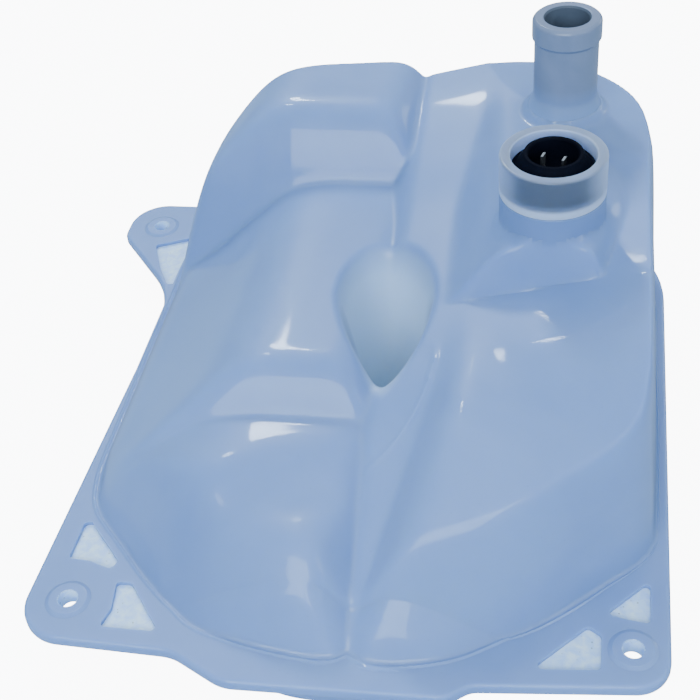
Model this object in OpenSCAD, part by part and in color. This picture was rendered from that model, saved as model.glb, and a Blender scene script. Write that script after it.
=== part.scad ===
// Coolant expansion tank for an engine bay: a blow-moulded translucent tank with
// a pinched flange and three bolt ears, a welded hose stub, and a welded collar
// that holds a plug-in level sensor with a sliding float.
// Origin: axis of the front left bolt hole, at the parting plane of the tank.
// +X runs to the front right hole, +Y to the rear, +Z out of the lobed side.

/* [Plan] */
// Distance between the two front bolt holes
hole_spacing = 190; // [180:1:200]
// Distance of the rear bolt hole behind the front ones
rear_hole_back = 215.5; // [210:0.5:225]
// Distance of the rear bolt hole to the left of the front left one
rear_hole_left = 27.5; // [24:0.5:32]
// Front face of the tank, in front of the front holes
body_front = 21; // [18:0.5:24]
// Rear face of the tank, behind the front holes
body_back = 231; // [224:1:240]
// How far the left wall stands outside the front left hole
body_left = 8; // [5:0.5:10]
// How far the right wall stands outside the front right hole
body_right = 7; // [4:0.5:8]

/* [Heights] */
// Height of the two rear blocks above the parting plane
block_h = 85; // [78:1:92]
// Height of the middle left lobe and of the front right hill
hill_h = 60; // [54:1:66]
// Height of the front left lobe
lobe_h = 43; // [38:1:48]
// Depth of the flat back half below the parting plane
pan_depth = 18; // [14:1:26]

/* [Moulding] */
// Wall of the blown tank
wall = 2.5; // [1.8:0.1:3.5]
// Thickness of the pinched flange and ears
flange_t = 5; // [4:0.5:7]
// Thickness of the thin webs in the ear windows
web_t = 1.6; // [1.2:0.1:2.4]
// Width of the flange beside the rear and right walls
flange_w = 4.5; // [3:0.5:6]
// Diameter of the bolt holes
bolt_d = 7; // [6:0.1:9]
// Diameter of the raised ring around a bolt hole
boss_d = 16; // [14:0.5:20]
// Height of the raised ring above and below the flange
boss_rise = 0.8; // [0.4:0.1:1.5]
// Height of the deep pit's mouth above its floor
pit_depth = 72; // [66:1:78]

/* [Hose stub] */
// Outside diameter of the stub
stub_d = 24; // [20:0.5:26]
// Bore of the stub
stub_bore_d = 16.6; // [12:0.2:18]
// Outside diameter of the hose bead at the stub's mouth
bead_d = 25.8; // [22:0.2:30]
// Height of the hose bead
bead_h = 9; // [6:0.5:12]
// Height of the stub above its seat
stub_h = 38; // [30:1:45]
// Position of the stub behind the front holes
stub_y = 189.5; // [186:0.5:194]
// Position of the stub, left of the front right hole
stub_inset = 32.4; // [29:0.2:35]
// Width of the stub's weld foot beyond its tube
foot_w = 2.2; // [1:0.2:4]

/* [Sensor collar] */
// Outside diameter of the collar
collar_d = 36.6; // [34:0.2:42]
// Bore of the collar above its shoulder
collar_bore_d = 29.2; // [26:0.2:31]
// Height of the welded collar
collar_h = 15; // [13:0.5:18]
// Height of the tank's own neck under the collar
neck_h = 10.5; // [8:0.5:14]
// Position of the collar behind the front holes
collar_y = 119.5; // [116:0.5:123]
// Position of the collar, left of the front right hole
collar_inset = 33.6; // [30:0.2:36]
// Thickness of the shoulder that the sensor stands on
shoulder_t = 1.5; // [1:0.1:2.5]
// Bore of the shoulder and of the neck
neck_bore_d = 25.4; // [24:0.2:26]

/* [Level sensor] */
// Radial gap between the sensor plug and the collar bore
plug_gap = 0.3; // [0.1:0.05:0.5]
// Outside diameter of the connector shroud at its mouth
shroud_d = 20.8; // [18:0.2:22]
// Wall of the connector shroud
shroud_wall = 1.8; // [1:0.1:2.5]
// Depth of the connector socket
socket_depth = 7.5; // [6:0.5:9]
// Spacing of the two contact blades
blade_gap = 7.4; // [6:0.2:9]
// Width of a contact blade
blade_w = 2.8; // [2:0.1:4]
// Thickness of a contact blade
blade_t = 0.8; // [0.5:0.1:1.2]
// Turn of the pair of blades about the sensor's axis
blade_turn = -17; // [-45:1:45]
// Section diameter of the seal ring
seal_d = 2.4; // [1.8:0.1:3]
// Outside diameter of the sensor's stem
stem_d = 7; // [6:0.2:8]
// Length of the stem below the plug
stem_l = 58; // [50:1:70]
// Bore of the stem, which holds the reed switch
stem_bore_d = 4.4; // [4.2:0.1:5]
// Outside diameter of the float
float_d = 23; // [18:0.5:24]
// Height of the float
float_h = 15; // [10:0.5:20]
// Travel of the float along the stem
float_travel = 18; // [10:1:25]
// Radial gap between the float and the stem
float_gap = 0.5; // [0.3:0.05:0.9]
// Thickness of the clip that stops the float
clip_t = 1.2; // [0.8:0.1:1.6]
// Outside diameter of that clip
clip_d = 12; // [10:0.5:14]

/* [Hidden] */

// Plan of the tank, all from the sizes above
y0 = -body_front;
y1 = body_back;
xl = -body_left;
xr = hole_spacing + body_right;
// Valley between the left and the right ridge
valley_x = hole_spacing * 0.52;
// Feet of the three faces that step down towards the front
block_foot = y1 - 62;
turret_foot = collar_y - collar_d / 2 - 0.7;
lobe_foot = 47;
// Cut corners of the tank at the two front ears
cut = 46;
// Radius of the rear right corner in plan
rear_r = 58;

// Walls of the tank at a distance y behind the front holes
left_edge = [
    [y0, 78], [y0 + 4, 60], [y0 + 11, 44], [-3, 35], [cut - 21, 10], [cut - 5, xl + 4.5],
    [cut + 12, xl + 0.6], [cut + 40, xl], [y1 - 72, xl], [y1 - 36, xl + 0.6],
    [y1 - 19, xl + 5], [y1 - 8, xl + 14], [y1, xl + 31]
];
right_edge = [
    [y0, xr - 79], [y0 + 5, xr - 63], [y0 + 16, xr - 48], [cut - 22, xr - 18],
    [cut - 8, xr - 4], [cut + 4, xr], [y1 - rear_r - 20, xr], [y1 - rear_r, xr],
    [y1 - 31, xr - 5.5], [y1 - 12, xr - 19.5], [y1 - 3, xr - 36], [y1, xr - 54]
];
// Height of the valley line from the front wall to the rear wall
valley = [
    [y0, 4], [0, 12], [30, lobe_h - 14], [60, hill_h - 14], [100, hill_h - 5],
    [150, hill_h - 1], [y1 - 55, block_h - 20], [y1 - 26, block_h - 12], [y1, block_h - 7]
];

// Deep pit where front and back wall are pinched together
pit_x = valley_x - 0.5;
pit_y = 104;
pit_half_w = 16.5;
pit_back = 27;
pit_front = 39;
pit_floor = 0.3;
pit_z = wall - pan_depth + 0.5;
pit_sides = 48;

// Places of the collar, sensor and stub
collar_x = hole_spacing - collar_inset;
stub_x = hole_spacing - stub_inset;
neck_top = block_h + neck_h;
rim_z = neck_top + collar_h;
shoulder_z = neck_top + shoulder_t;
seat_z = block_h + 1.5;
plug_r = collar_bore_d / 2 - plug_gap;
plug_top = rim_z - 4.5;
socket_z = rim_z - socket_depth;
blade_top = rim_z - 1.5;
blade_foot = socket_z - 2.5;
wiring_r = blade_gap / 2 + 1.6;
wiring_h = 2;
solder_d = 0.8;
seal_z = shoulder_z + 4;
groove_r = collar_bore_d / 2 - seal_d + 0.15;
stem_foot = shoulder_z - stem_l;
clip_z = stem_foot + 3;
float_z = clip_z + clip_t + 0.1;
float_bore_r = stem_d / 2 + float_gap;
magnet_h = 4;
magnet_r = float_bore_r + 4.2;
magnet_in_r = float_bore_r + 1.2;
clip_groove_r = stem_d / 2 - 0.7;
reed_l = 14;
reed_d = 2.4;
lead_d = 0.6;
reed_z = float_z + float_h + 2;
lead_x = stem_bore_d / 2 - solder_d / 2 - 0.05;

// Grid of the tank's skins: rows along Y and columns along X
rows = 46;
columns = 34;
inner_rows = 40;
inner_columns = 30;
eps = 0.01;

// Smooth lower and upper envelope of two surfaces, rounded over a height k
function blend(a, b, k) = let(h = max(k - abs(a - b), 0) / k) min(a, b) - h * h * k / 4;
function merge(a, b, k) = -blend(-a, -b, k);

// Face that rises at an angle from d = 0, moved in by a wall of t
function face(d, angle, t) = d * tan(angle) - t / cos(angle);

// Smooth curve through points [v, value]
function seg(v, p) = max([for (i = [0:len(p) - 2]) v >= p[i][0] ? i : 0]);
function grade(p, i) =
    let(a = p[max(i - 1, 0)], b = p[min(i + 1, len(p) - 1)]) (b[1] - a[1]) / (b[0] - a[0]);
function curve(v, p) =
    let(
        w = min(max(v, p[0][0]), p[len(p) - 1][0]),
        i = seg(w, p),
        h = p[i + 1][0] - p[i][0],
        s = (w - p[i][0]) / h,
        q = s * s,
        c = q * s
    )
    (2 * c - 3 * q + 1) * p[i][1] + (c - 2 * q + s) * h * grade(p, i)
    + (3 * q - 2 * c) * p[i + 1][1] + (c - q) * h * grade(p, i + 1);

// What one row needs: walls, their lean in plan, valley height, nearness to the front
function row(y) =
    let(
        lean_l = curve(y + 0.5, left_edge) - curve(y - 0.5, left_edge),
        lean_r = curve(y + 0.5, right_edge) - curve(y - 0.5, right_edge)
    )
    [
        curve(y, left_edge), curve(y, right_edge),
        1 / sqrt(1 + lean_l * lean_l), 1 / sqrt(1 + lean_r * lean_r),
        curve(y, valley), min(max((60 - y) / 60, 0), 1)
    ];

// Height of the lobed side above the parting plane, for a skin that lies t inside
function left_ridge(x, y, v, t) =
    let(
        face_y = block_foot + 0.15 * max(50 - x, 0),
        rear = blend(blend(block_h - t, face(y - face_y, 68, t) + hill_h - 12, 20),
            blend((x + 7) * 4.2 + 9 - t * 4, (x - 8) * 1.02 + block_h - 29 - t * 1.4, 36), 13),
        mid = blend(blend(hill_h - 1 - t, face(y - lobe_foot, 60, t) + lobe_h - 12, 14),
            (x - 52) * 0.86 + hill_h - t * 1.3, 12),
        step = y - 26 - 0.28 * (x - 65),
        front = blend(merge(blend(lobe_h - t, step * 0.9 + lobe_h - 6 - t * 1.3, 8),
            blend(lobe_h - 10 - t, (y + 16) * 1.6 + 14 - t * 1.9, 16), 2),
            (x - 42) * 0.6 + lobe_h - t * 1.2, 12),
        lobes = merge(merge(rear, mid, 2), front, 1.5)
    )
    blend(lobes, (valley_x - x) * 1.6 + v, 6);

function right_ridge(x, y, v, t) =
    let(
        inward = hole_spacing - x,
        block = blend(block_h - t, face(y - turret_foot, 82, t) + hill_h, 12),
        flank_l = (x - valley_x - 21) * 1.3 + hill_h + 0.14 * (y - 112) - t * 1.6,
        shoulder = blend(inward * 1.25 + hill_h + 10 - t * 1.6,
            (inward - 18) * 3 + block_h + (y - collar_y + 17) * 0.9 - t * 3.3, 8),
        flank_r = merge(shoulder, face(y - collar_y - 22.5, 57, t) + hill_h + 10, 3),
        turret = blend(blend(block, flank_l, 10), flank_r, 10),
        hill = blend(blend(hill_h + 1 - t, (y + 24) * 0.95 + 12 - t * 1.4, 40),
            (x - valley_x - 22) * 1.9 + hill_h - 15 + 0.1 * (y - 55) - t * 2.1, 16),
        band = min((x - valley_x) * 0.25 + v + 1, block_h - t),
        ridge = merge(merge(turret, hill, 2), band, 2)
    )
    blend(ridge, (x - valley_x) * 1.6 + v + 2, 4);

function skin(x, y, r, t) =
    let(
        v = r[4] - t * 1.3,
        ridges = merge(left_ridge(x, y, v, t), right_ridge(x, y, v, t), 1.2),
        near = r[5],
        dl = (x - r[0]) * r[2],
        dr = (r[1] - x) * r[3],
        wall_l = dl * (tan(74) * (1 - near) + tan(55) * near) - t * 4,
        wall_r = dr * (tan(86) * (1 - near) + tan(52) * near) - t * (14 * (1 - near) + 2 * near),
        sides = blend(ridges, blend(wall_l, wall_r, 10), 22 + 18 * near)
    )
    blend(blend(sides, face(y1 - y, 87, t), 18), face(y - y0, 66, t) + 2, 22);

// Teardrop ring of the pit at n times its mouth size
function pit_ring(n) = [
    for (i = [0:pit_sides - 1])
        let(
            a = i * 360 / pit_sides,
            c = cos(a),
            s = sin(a),
            p = s > 0 ? 1 : 4 / 3,
            dy = (s > 0 ? pit_back : pit_front) * n * sign(s) * pow(abs(s), p),
            dx = pit_half_w * n * sign(c) * pow(abs(c), p)
        )
        [pit_x + dx - 0.1 * dy, pit_y + dy]
];
function pit_n(z, t) = pit_floor + (1 - pit_floor) * (z - pit_z + 5 * t) / pit_depth;
// Dip of the skin around the mouth of the pit, wider for a skin that lies t inside
function pit_dip(x, y, z, t) =
    let(
        dy = y - pit_y,
        dx = x - pit_x + 0.1 * dy,
        p = dy > 0 ? 2 : 1.5,
        n = pow(pow(abs(dx) / pit_half_w, p)
            + pow(abs(dy) / (dy > 0 ? pit_back : pit_front), p), 1 / p) - t / 18,
        surface = pit_z + (n - pit_floor) / (1 - pit_floor) * pit_depth
    )
    max(blend(z, surface, 9), z - 6);

// Stations from a to b that crowd together at both ends
function station(a, b, k, n) = a + (b - a) * (1 - cos(180 * k / n)) / 2;

// One row of points of a skin
function skin_row(y, nc, t, edge) =
    let(r = row(y), a = r[0] + t / r[2], b = r[1] - t / r[3])
    [
        for (i = [0:nc])
            let(
                x = station(a, b, i, nc),
                on_edge = edge || i == 0 || i == nc,
                outer = on_edge ? 0 : pit_dip(x, y, skin(x, y, r, 0), t)
            )
            [x, y, on_edge ? 0 : max(0, t > 0 ? min(skin(x, y, r, t), outer - 1.15 * t) : outer)]
    ];

// Closed solid under a skin: the lobed side, the rim, and the flat back half.
// Each lower ring is [height, how far it draws in]
module shell_solid(nr, nc, t, rings) {
    top = [
        for (j = [0:nr])
            each skin_row(station(y0 + t, y1 - t, j, nr), nc, t, j == 0 || j == nr)
    ];
    loop = concat(
        [for (i = [0:nc]) i],
        [for (j = [1:nr]) j * (nc + 1) + nc],
        [for (i = [nc - 1:-1:0]) nr * (nc + 1) + i],
        [for (j = [nr - 1:-1:1]) j * (nc + 1)]
    );
    n = len(loop);
    m = len(top);
    cx = (xl + xr) / 2;
    cy = (y0 + y1) / 2;
    hx = (xr - xl) / 2 - t;
    hy = (y1 - y0) / 2 - t;
    low = [
        for (q = rings)
            for (k = loop)
                [
                    cx + (top[k][0] - cx) * (1 - q[1] / hx),
                    cy + (top[k][1] - cy) * (1 - q[1] / hy),
                    q[0]
                ]
    ];
    function under(q, k) = q == 0 ? loop[k % n] : m + (q - 1) * n + k % n;
    polyhedron(
        points = concat(top, low),
        faces = concat(
            [
                for (j = [0:nr - 1])
                    for (i = [0:nc - 1])
                        let(
                            a = j * (nc + 1) + i,
                            d = a + nc + 1,
                            flip = abs(top[a][2] - top[d + 1][2]) < abs(top[a + 1][2] - top[d][2])
                        )
                        each flip ? [[a, d, d + 1], [a, d + 1, a + 1]] : [[a, d, a + 1], [a + 1, d, d + 1]]
            ],
            [
                for (q = [0:len(rings) - 1])
                    for (k = [0:n - 1])
                        each [
                            [under(q, k), under(q, k + 1), under(q + 1, k)],
                            [under(q, k + 1), under(q + 1, k + 1), under(q + 1, k)]
                        ]
            ],
            [[for (k = [0:n - 1]) under(len(rings), k)]]
        )
    );
}

// Tapered teardrop plug between two heights, drawn in by a wall of t
module pit_plug(z_low, z_high, t) {
    low = pit_ring(pit_n(z_low, t));
    high = pit_ring(pit_n(z_high, t));
    n = pit_sides;
    polyhedron(
        points = concat([for (p = low) [p[0], p[1], z_low]], [for (p = high) [p[0], p[1], z_high]]),
        faces = concat(
            [[for (k = [0:n - 1]) k]],
            [[for (k = [n - 1:-1:0]) n + k]],
            [
                for (k = [0:n - 1])
                    each [[k, n + k, (k + 1) % n], [(k + 1) % n, n + k, n + (k + 1) % n]]
            ]
        )
    );
}

// Outline with rounded corners, each corner given as [x, y, radius]
function corner_arc(a, b, c) =
    let(
        p = [b[0], b[1]],
        u = ([a[0], a[1]] - p) / norm([a[0], a[1]] - p),
        w = ([c[0], c[1]] - p) / norm([c[0], c[1]] - p),
        half = acos(min(max(u * w, -1), 1)) / 2,
        mid = p + (u + w) / norm(u + w) * b[2] / sin(half),
        s0 = p + u * b[2] / tan(half) - mid,
        s1 = p + w * b[2] / tan(half) - mid,
        a0 = atan2(s0[1], s0[0]),
        turn = atan2(s1[1], s1[0]) - a0,
        sweep = turn > 180 ? turn - 360 : (turn < -180 ? turn + 360 : turn),
        n = max(2, ceil(abs(sweep) / (b[2] > 3 ? 9 : 20)))
    )
    [for (k = [0:n]) mid + b[2] * [cos(a0 + sweep * k / n), sin(a0 + sweep * k / n)]];
function rounded(c) = [
    for (i = [0:len(c) - 1]) each corner_arc(c[(i + len(c) - 1) % len(c)], c[i], c[(i + 1) % len(c)])
];

// Outer edge of the flange, with the three ears and the bulge at the front
ear_r = boss_d;
flange_outline = rounded([
    [-ear_r, -ear_r + 0.5, ear_r],
    [41, y0 + 4.3, 16],
    [60, y0 - 5.5, 16],
    [hole_spacing - 57, y0 - 3.5, 12],
    [hole_spacing - 50, y0 + 2, 8],
    [xr + flange_w + 0.5, -ear_r + 3, ear_r - 4],
    [xr + flange_w, y1 + 3.5, rear_r - 2],
    [-rear_hole_left - ear_r, y1 + 2.5, ear_r],
    [-rear_hole_left - ear_r, rear_hole_back - 7, 8],
    [xl - 1.5, y1 - 64, 50]
]);

bolt_holes = [[0, 0], [hole_spacing, 0], [-rear_hole_left, rear_hole_back]];

// Windows of the ears, pinched to a thin web
windows = [
    [[14.5, 9.5, 1.5], [20, 9.5, 2.5], [35, -9.5, 1.5], [14, -9.5, 1.5], [16, -2, 3]],
    [[-6, 18, 1.5], [-5.5, 35, 2], [-1, 35, 1.5], [12.5, 19.5, 1.5], [11, 14.5, 2], [2, 17.5, 3]],
    [
        [hole_spacing - 32, -10.5, 1.5], [hole_spacing - 14.5, 8, 1.5], [hole_spacing - 10, 5, 2],
        [hole_spacing - 10, -8.5, 1.5]
    ],
    [
        [hole_spacing - 9, 13.5, 1.5], [hole_spacing + 5.5, 29, 1.5], [hole_spacing + 5.5, 11, 1.5],
        [hole_spacing - 2, 12, 4]
    ],
    [
        [1 - rear_hole_left, rear_hole_back - 14, 1.5], [xl + 2, rear_hole_back - 5, 2],
        [xl + 2, rear_hole_back - 41, 2], [xl - 5.5, rear_hole_back - 42, 2],
        [xl - 12, rear_hole_back - 30, 8]
    ]
];

module flange() {
    recess = (flange_t - web_t) / 2;
    difference() {
        union() {
            translate([0, 0, -flange_t / 2])
                linear_extrude(flange_t)
                    polygon(flange_outline);
            for (h = bolt_holes)
                translate([h[0], h[1], -flange_t / 2 - boss_rise])
                    cylinder(d = boss_d, h = flange_t + 2 * boss_rise, $fn = 48);
        }
        for (w = windows, side = [-1, 1])
            translate([0, 0, side > 0 ? web_t / 2 : -web_t / 2 - recess - 1])
                linear_extrude(recess + 1)
                    polygon(rounded(w));
    }
}

// Everything that the mould forms, with pilot holes where the bores are drilled later
module moulding() {
    difference() {
        union() {
            shell_solid(rows, columns, 0, [[4 - pan_depth, 2], [1.2 - pan_depth, 3.2], [-pan_depth, 6]]);
            flange();
            translate([collar_x, collar_y, block_h - 8])
                cylinder(d = collar_d, h = neck_top - block_h + 8, $fn = 72);
            translate([stub_x, stub_y, block_h - 8])
                cylinder(d = stub_d + 2 * foot_w, h = seat_z - block_h + 8, $fn = 72);
        }
        difference() {
            shell_solid(inner_rows, inner_columns, wall,
                [[4 - pan_depth + wall, 2], [wall - pan_depth, 5]]);
            pit_plug(-pan_depth - 1, block_h, wall);
        }
        pit_plug(pit_z, block_h + 5, 0);
        translate([collar_x, collar_y, block_h / 2])
            cylinder(d = neck_bore_d - 4, h = block_h, $fn = 24);
        translate([stub_x, stub_y, block_h / 2])
            cylinder(d = stub_bore_d - 4, h = block_h, $fn = 24);
    }
}

module tank_body() {
    color("#b9cbe0")
        difference() {
            resize([0, 0, 0])
                moulding();
            for (h = bolt_holes)
                translate([h[0], h[1], -flange_t])
                    cylinder(d = bolt_d, h = 2 * flange_t, $fn = 64);
            translate([collar_x, collar_y, block_h / 2])
                cylinder(d = neck_bore_d, h = block_h, $fn = 96);
            translate([stub_x, stub_y, block_h / 2])
                cylinder(d = stub_bore_d, h = block_h, $fn = 96);
        }
}

module sensor_collar() {
    color("#e4edf6")
        translate([collar_x, collar_y, 0])
            rotate_extrude($fn = 96)
                polygon([
                    [neck_bore_d / 2, neck_top], [collar_d / 2, neck_top],
                    [collar_d / 2, rim_z - 0.8], [collar_d / 2 - 0.8, rim_z],
                    [collar_bore_d / 2 + 0.6, rim_z], [collar_bore_d / 2, rim_z - 0.6],
                    [collar_bore_d / 2, shoulder_z], [neck_bore_d / 2, shoulder_z]
                ]);
}

module hose_stub() {
    top = seat_z + stub_h;
    ro = stub_d / 2;
    rb = bead_d / 2;
    ri = stub_bore_d / 2;
    color("#dde8f3")
        translate([stub_x, stub_y, 0])
            rotate_extrude($fn = 96)
                polygon([
                    [ri, seat_z], [ro + foot_w, seat_z], [ro + foot_w, seat_z + 1.5],
                    [ro + 0.8, seat_z + 2.3], [ro, seat_z + 4], [ro, top - bead_h],
                    [rb - 0.3, top - bead_h + 1.4], [rb, top - bead_h + 2.4], [rb, top - 3],
                    [rb - 0.5, top - 1], [rb - 1.4, top], [ri + 0.8, top], [ri, top - 0.8]
                ]);
}

// The two blades: side is -1 for the left one and 1 for the right one
module blade(side, grow) {
    translate([collar_x, collar_y, 0])
        rotate(blade_turn)
            translate([side * blade_gap / 2 - blade_t / 2 - grow, -blade_w / 2 - grow, blade_foot])
                cube([blade_t + 2 * grow, blade_w + 2 * grow, blade_top - blade_foot]);
}

module sensor_body() {
    shroud_r = shroud_d / 2;
    socket_r = shroud_r - shroud_wall;
    color("#17181a")
        difference() {
            translate([collar_x, collar_y, 0])
                rotate_extrude($fn = 96)
                    polygon([
                        [0, stem_foot], [stem_d / 2 - 0.6, stem_foot], [stem_d / 2, stem_foot + 0.6],
                        [stem_d / 2, clip_z], [clip_groove_r, clip_z],
                        [clip_groove_r, clip_z + clip_t], [stem_d / 2, clip_z + clip_t],
                        [stem_d / 2, shoulder_z - 3], [stem_d / 2 + 3, shoulder_z],
                        [plug_r, shoulder_z], [plug_r, seal_z - seal_d / 2],
                        [groove_r, seal_z - seal_d / 2], [groove_r, seal_z + seal_d / 2],
                        [plug_r, seal_z + seal_d / 2], [plug_r, plug_top - 0.6],
                        [plug_r - 0.6, plug_top], [shroud_r + 2.4, plug_top + 0.2],
                        [shroud_r, rim_z - 0.6], [shroud_r - 0.4, rim_z + 0.2],
                        [socket_r + 0.4, rim_z + 0.2], [socket_r, rim_z - 0.4],
                        [socket_r, socket_z], [0, socket_z]
                    ]);
            translate([collar_x, collar_y, stem_foot + 2])
                cylinder(d = stem_bore_d, h = blade_foot - stem_foot - 3, $fn = 48);
            translate([collar_x, collar_y, blade_foot - wiring_h])
                cylinder(r = wiring_r, h = wiring_h, $fn = 48);
            blade(-1, 0);
            blade(1, 0);
        }
}

module sensor_seal() {
    mid_r = groove_r + seal_d / 2;
    color("#26282b")
        translate([collar_x, collar_y, seal_z])
            rotate_extrude($fn = 96)
                intersection() {
                    translate([mid_r, 0])
                        circle(d = seal_d, $fn = 32);
                    translate([groove_r, -seal_d])
                        square([collar_bore_d / 2 - groove_r, 2 * seal_d]);
                }
}

module contact(side) {
    color("#c9ccd0")
        blade(side, 0);
}

module reed_switch() {
    color("#a9c4b4")
        translate([collar_x, collar_y, reed_z])
            rotate_extrude($fn = 32)
                polygon([
                    [0, 0], [reed_d / 2 - 0.7, 0], [reed_d / 2, 0.9],
                    [reed_d / 2, reed_l - 0.9], [reed_d / 2 - 0.7, reed_l], [0, reed_l]
                ]);
}

// Wire between two points
module wire(a, b) {
    v = b - a;
    translate(a)
        rotate([0, acos(v[2] / norm(v)), atan2(v[1], v[0])])
            cylinder(d = lead_d, h = norm(v), $fn = 24);
}

// Middle of the drop of solder that hangs under a blade
function solder_at(side) = [
    collar_x + side * cos(blade_turn) * blade_gap / 2,
    collar_y + side * sin(blade_turn) * blade_gap / 2,
    blade_foot - solder_d / 2
];

// From the top of the reed switch straight up to the left blade
module lead_left() {
    bend_at = [collar_x, collar_y, blade_foot - 2.4];
    color("#b87333")
        union() {
            wire([collar_x, collar_y, reed_z + reed_l], bend_at);
            wire(bend_at, solder_at(-1));
            for (p = [bend_at, solder_at(-1)])
                translate(p)
                    sphere(d = solder_d, $fn = 24);
        }
}

// From the foot of the reed switch round it and up to the right blade
module lead_right() {
    foot = [collar_x, collar_y, reed_z - 1];
    turn = foot + [lead_x, 0, 0];
    bend_at = [collar_x + lead_x, collar_y, blade_foot - 1.4];
    color("#b87333")
        union() {
            wire([collar_x, collar_y, reed_z], foot);
            wire(foot, turn);
            wire(turn, bend_at);
            wire(bend_at, solder_at(1));
            for (p = [foot, turn, bend_at, solder_at(1)])
                translate(p)
                    sphere(d = solder_d, $fn = 24);
        }
}

module float_ring() {
    r = float_d / 2;
    top = float_z + float_h;
    color("#e9c46a")
        translate([collar_x, collar_y, 0])
            rotate_extrude($fn = 96)
                polygon([
                    [float_bore_r, float_z], [magnet_in_r, float_z], [magnet_in_r, float_z + magnet_h],
                    [magnet_r, float_z + magnet_h], [magnet_r, float_z], [r - 1.5, float_z],
                    [r, float_z + 1.5], [r, top - 1.5], [r - 1.5, top], [float_bore_r, top]
                ]);
}

module float_magnet() {
    color("#3b3b3f")
        translate([collar_x, collar_y, float_z])
            difference() {
                cylinder(r = magnet_r, h = magnet_h, $fn = 96);
                translate([0, 0, -1])
                    cylinder(r = magnet_in_r, h = magnet_h + 2, $fn = 96);
            }
}

module float_clip() {
    color("#9aa0a6")
        translate([collar_x, collar_y, clip_z])
            difference() {
                cylinder(d = clip_d, h = clip_t, $fn = 64);
                translate([0, 0, -1])
                    cylinder(r = clip_groove_r, h = clip_t + 2, $fn = 64);
            }
}

tank_body();
sensor_collar();
hose_stub();
sensor_body();
sensor_seal();
contact(-1);  // contact_left
contact(1);  // contact_right
reed_switch();
lead_left();
lead_right();
float_ring();
float_magnet();
float_clip();
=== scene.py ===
"""Coolant expansion tank for an engine bay: a blown translucent tank with a pinched
flange, a welded hose stub and a welded collar with a plug-in level sensor.
"""

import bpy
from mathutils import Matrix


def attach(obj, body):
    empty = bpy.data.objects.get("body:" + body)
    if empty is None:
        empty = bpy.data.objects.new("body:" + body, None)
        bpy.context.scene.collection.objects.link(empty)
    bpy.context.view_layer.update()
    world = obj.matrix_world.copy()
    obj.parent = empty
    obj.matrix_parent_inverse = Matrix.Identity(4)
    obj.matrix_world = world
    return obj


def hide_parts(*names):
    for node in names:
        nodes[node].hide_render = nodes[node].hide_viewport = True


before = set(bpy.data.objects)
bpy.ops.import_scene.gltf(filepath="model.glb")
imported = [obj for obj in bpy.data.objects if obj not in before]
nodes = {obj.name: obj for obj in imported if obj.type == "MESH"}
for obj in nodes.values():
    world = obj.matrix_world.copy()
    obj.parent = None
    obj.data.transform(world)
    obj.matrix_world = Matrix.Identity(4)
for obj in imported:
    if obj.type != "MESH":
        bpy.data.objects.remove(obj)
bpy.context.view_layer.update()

# Camera and room
# The tank is seen from the front right and from above, 41 degrees down, with the camera
# tilted a little about its own axis. It lies on a white table under five soft lights.
import math

import bmesh
import bpy
import numpy as np
from mathutils import Matrix, Vector

CAMERA_PLACE = (0.1695, -0.255, 0.352)
DOWN = math.radians(41)
TURN = math.radians(13.517)
ROLL = math.radians(-6)
camera = bpy.data.objects.new("camera", bpy.data.cameras.new("camera"))
bpy.context.scene.collection.objects.link(camera)
camera.data.sensor_width = 36
camera.data.lens = 66.857
forward = Vector((0, math.cos(DOWN), -math.sin(DOWN)))
upright = Vector((0, math.sin(DOWN), math.cos(DOWN)))
right = Vector((1, 0, 0)) * math.cos(ROLL) + upright * math.sin(ROLL)
up = upright * math.cos(ROLL) - Vector((1, 0, 0)) * math.sin(ROLL)
aim = Matrix((right, up, -forward)).transposed()
camera.matrix_world = (
    Matrix.Translation(CAMERA_PLACE) @ (Matrix.Rotation(TURN, 3, "Z") @ aim).to_4x4()
)
bpy.context.scene.camera = camera

TANK_MIDDLE = Vector((0.09, 0.1, 0.04))
LAMP_COLOUR = (0.74, 0.87, 1)


def softbox(name, around, above, distance, size, brightness):
    """Rectangular light that looks at the tank's middle from a compass angle and a height angle."""
    a, e = math.radians(around), math.radians(above)
    away = Vector((math.cos(a) * math.cos(e), math.sin(a) * math.cos(e), math.sin(e)))
    lamp = bpy.data.lights.new(name, "AREA")
    lamp.shape = "RECTANGLE"
    lamp.size, lamp.size_y = size
    lamp.energy = brightness * math.pi * size[0] * size[1]
    lamp.color = LAMP_COLOUR
    obj = bpy.data.objects.new(name, lamp)
    obj.location = TANK_MIDDLE + away * distance
    obj.rotation_euler = (-away).to_track_quat("-Z", "Y").to_euler()
    bpy.context.scene.collection.objects.link(obj)


# The two small lights at the rear are what the lobes, the ridge and the hill mirror
softbox("rear_left_softbox", 114.5, 45, 1.3, (0.14, 0.26), 75)
softbox("rear_softbox", 134, 56, 1.3, (0.08, 0.09), 60)
softbox("front_softbox", -96, 32, 1.4, (1.1, 0.7), 10)
softbox("right_softbox", -24, 27, 1.3, (0.2, 0.4), 6)
softbox("rear_right_strip", 46, 13, 1.2, (0.25, 0.25), 5)


def put(tree, kind, sockets=(), **settings):
    """Adds a shader node; sockets gives each input its value, or the output that feeds it."""
    node = tree.nodes.new("ShaderNode" + kind)
    for key, value in settings.items():
        setattr(node, key, value)
    for key, value in dict(sockets).items():
        if isinstance(value, bpy.types.NodeSocket):
            tree.links.new(value, node.inputs[key])
        else:
            node.inputs[key].default_value = value
    return node


def fade(tree, value, low, high, start=0.0, end=1.0):
    """Maps a value that runs from low to high onto start to end."""
    sockets = {"Value": value, "From Min": low, "From Max": high, "To Min": start, "To Max": end}
    return put(tree, "MapRange", sockets).outputs[0]


def sums(tree, operation, a, b):
    """Value that Blender's Math node makes of two others."""
    return put(tree, "Math", {0: a, 1: b}, operation=operation).outputs[0]


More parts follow.
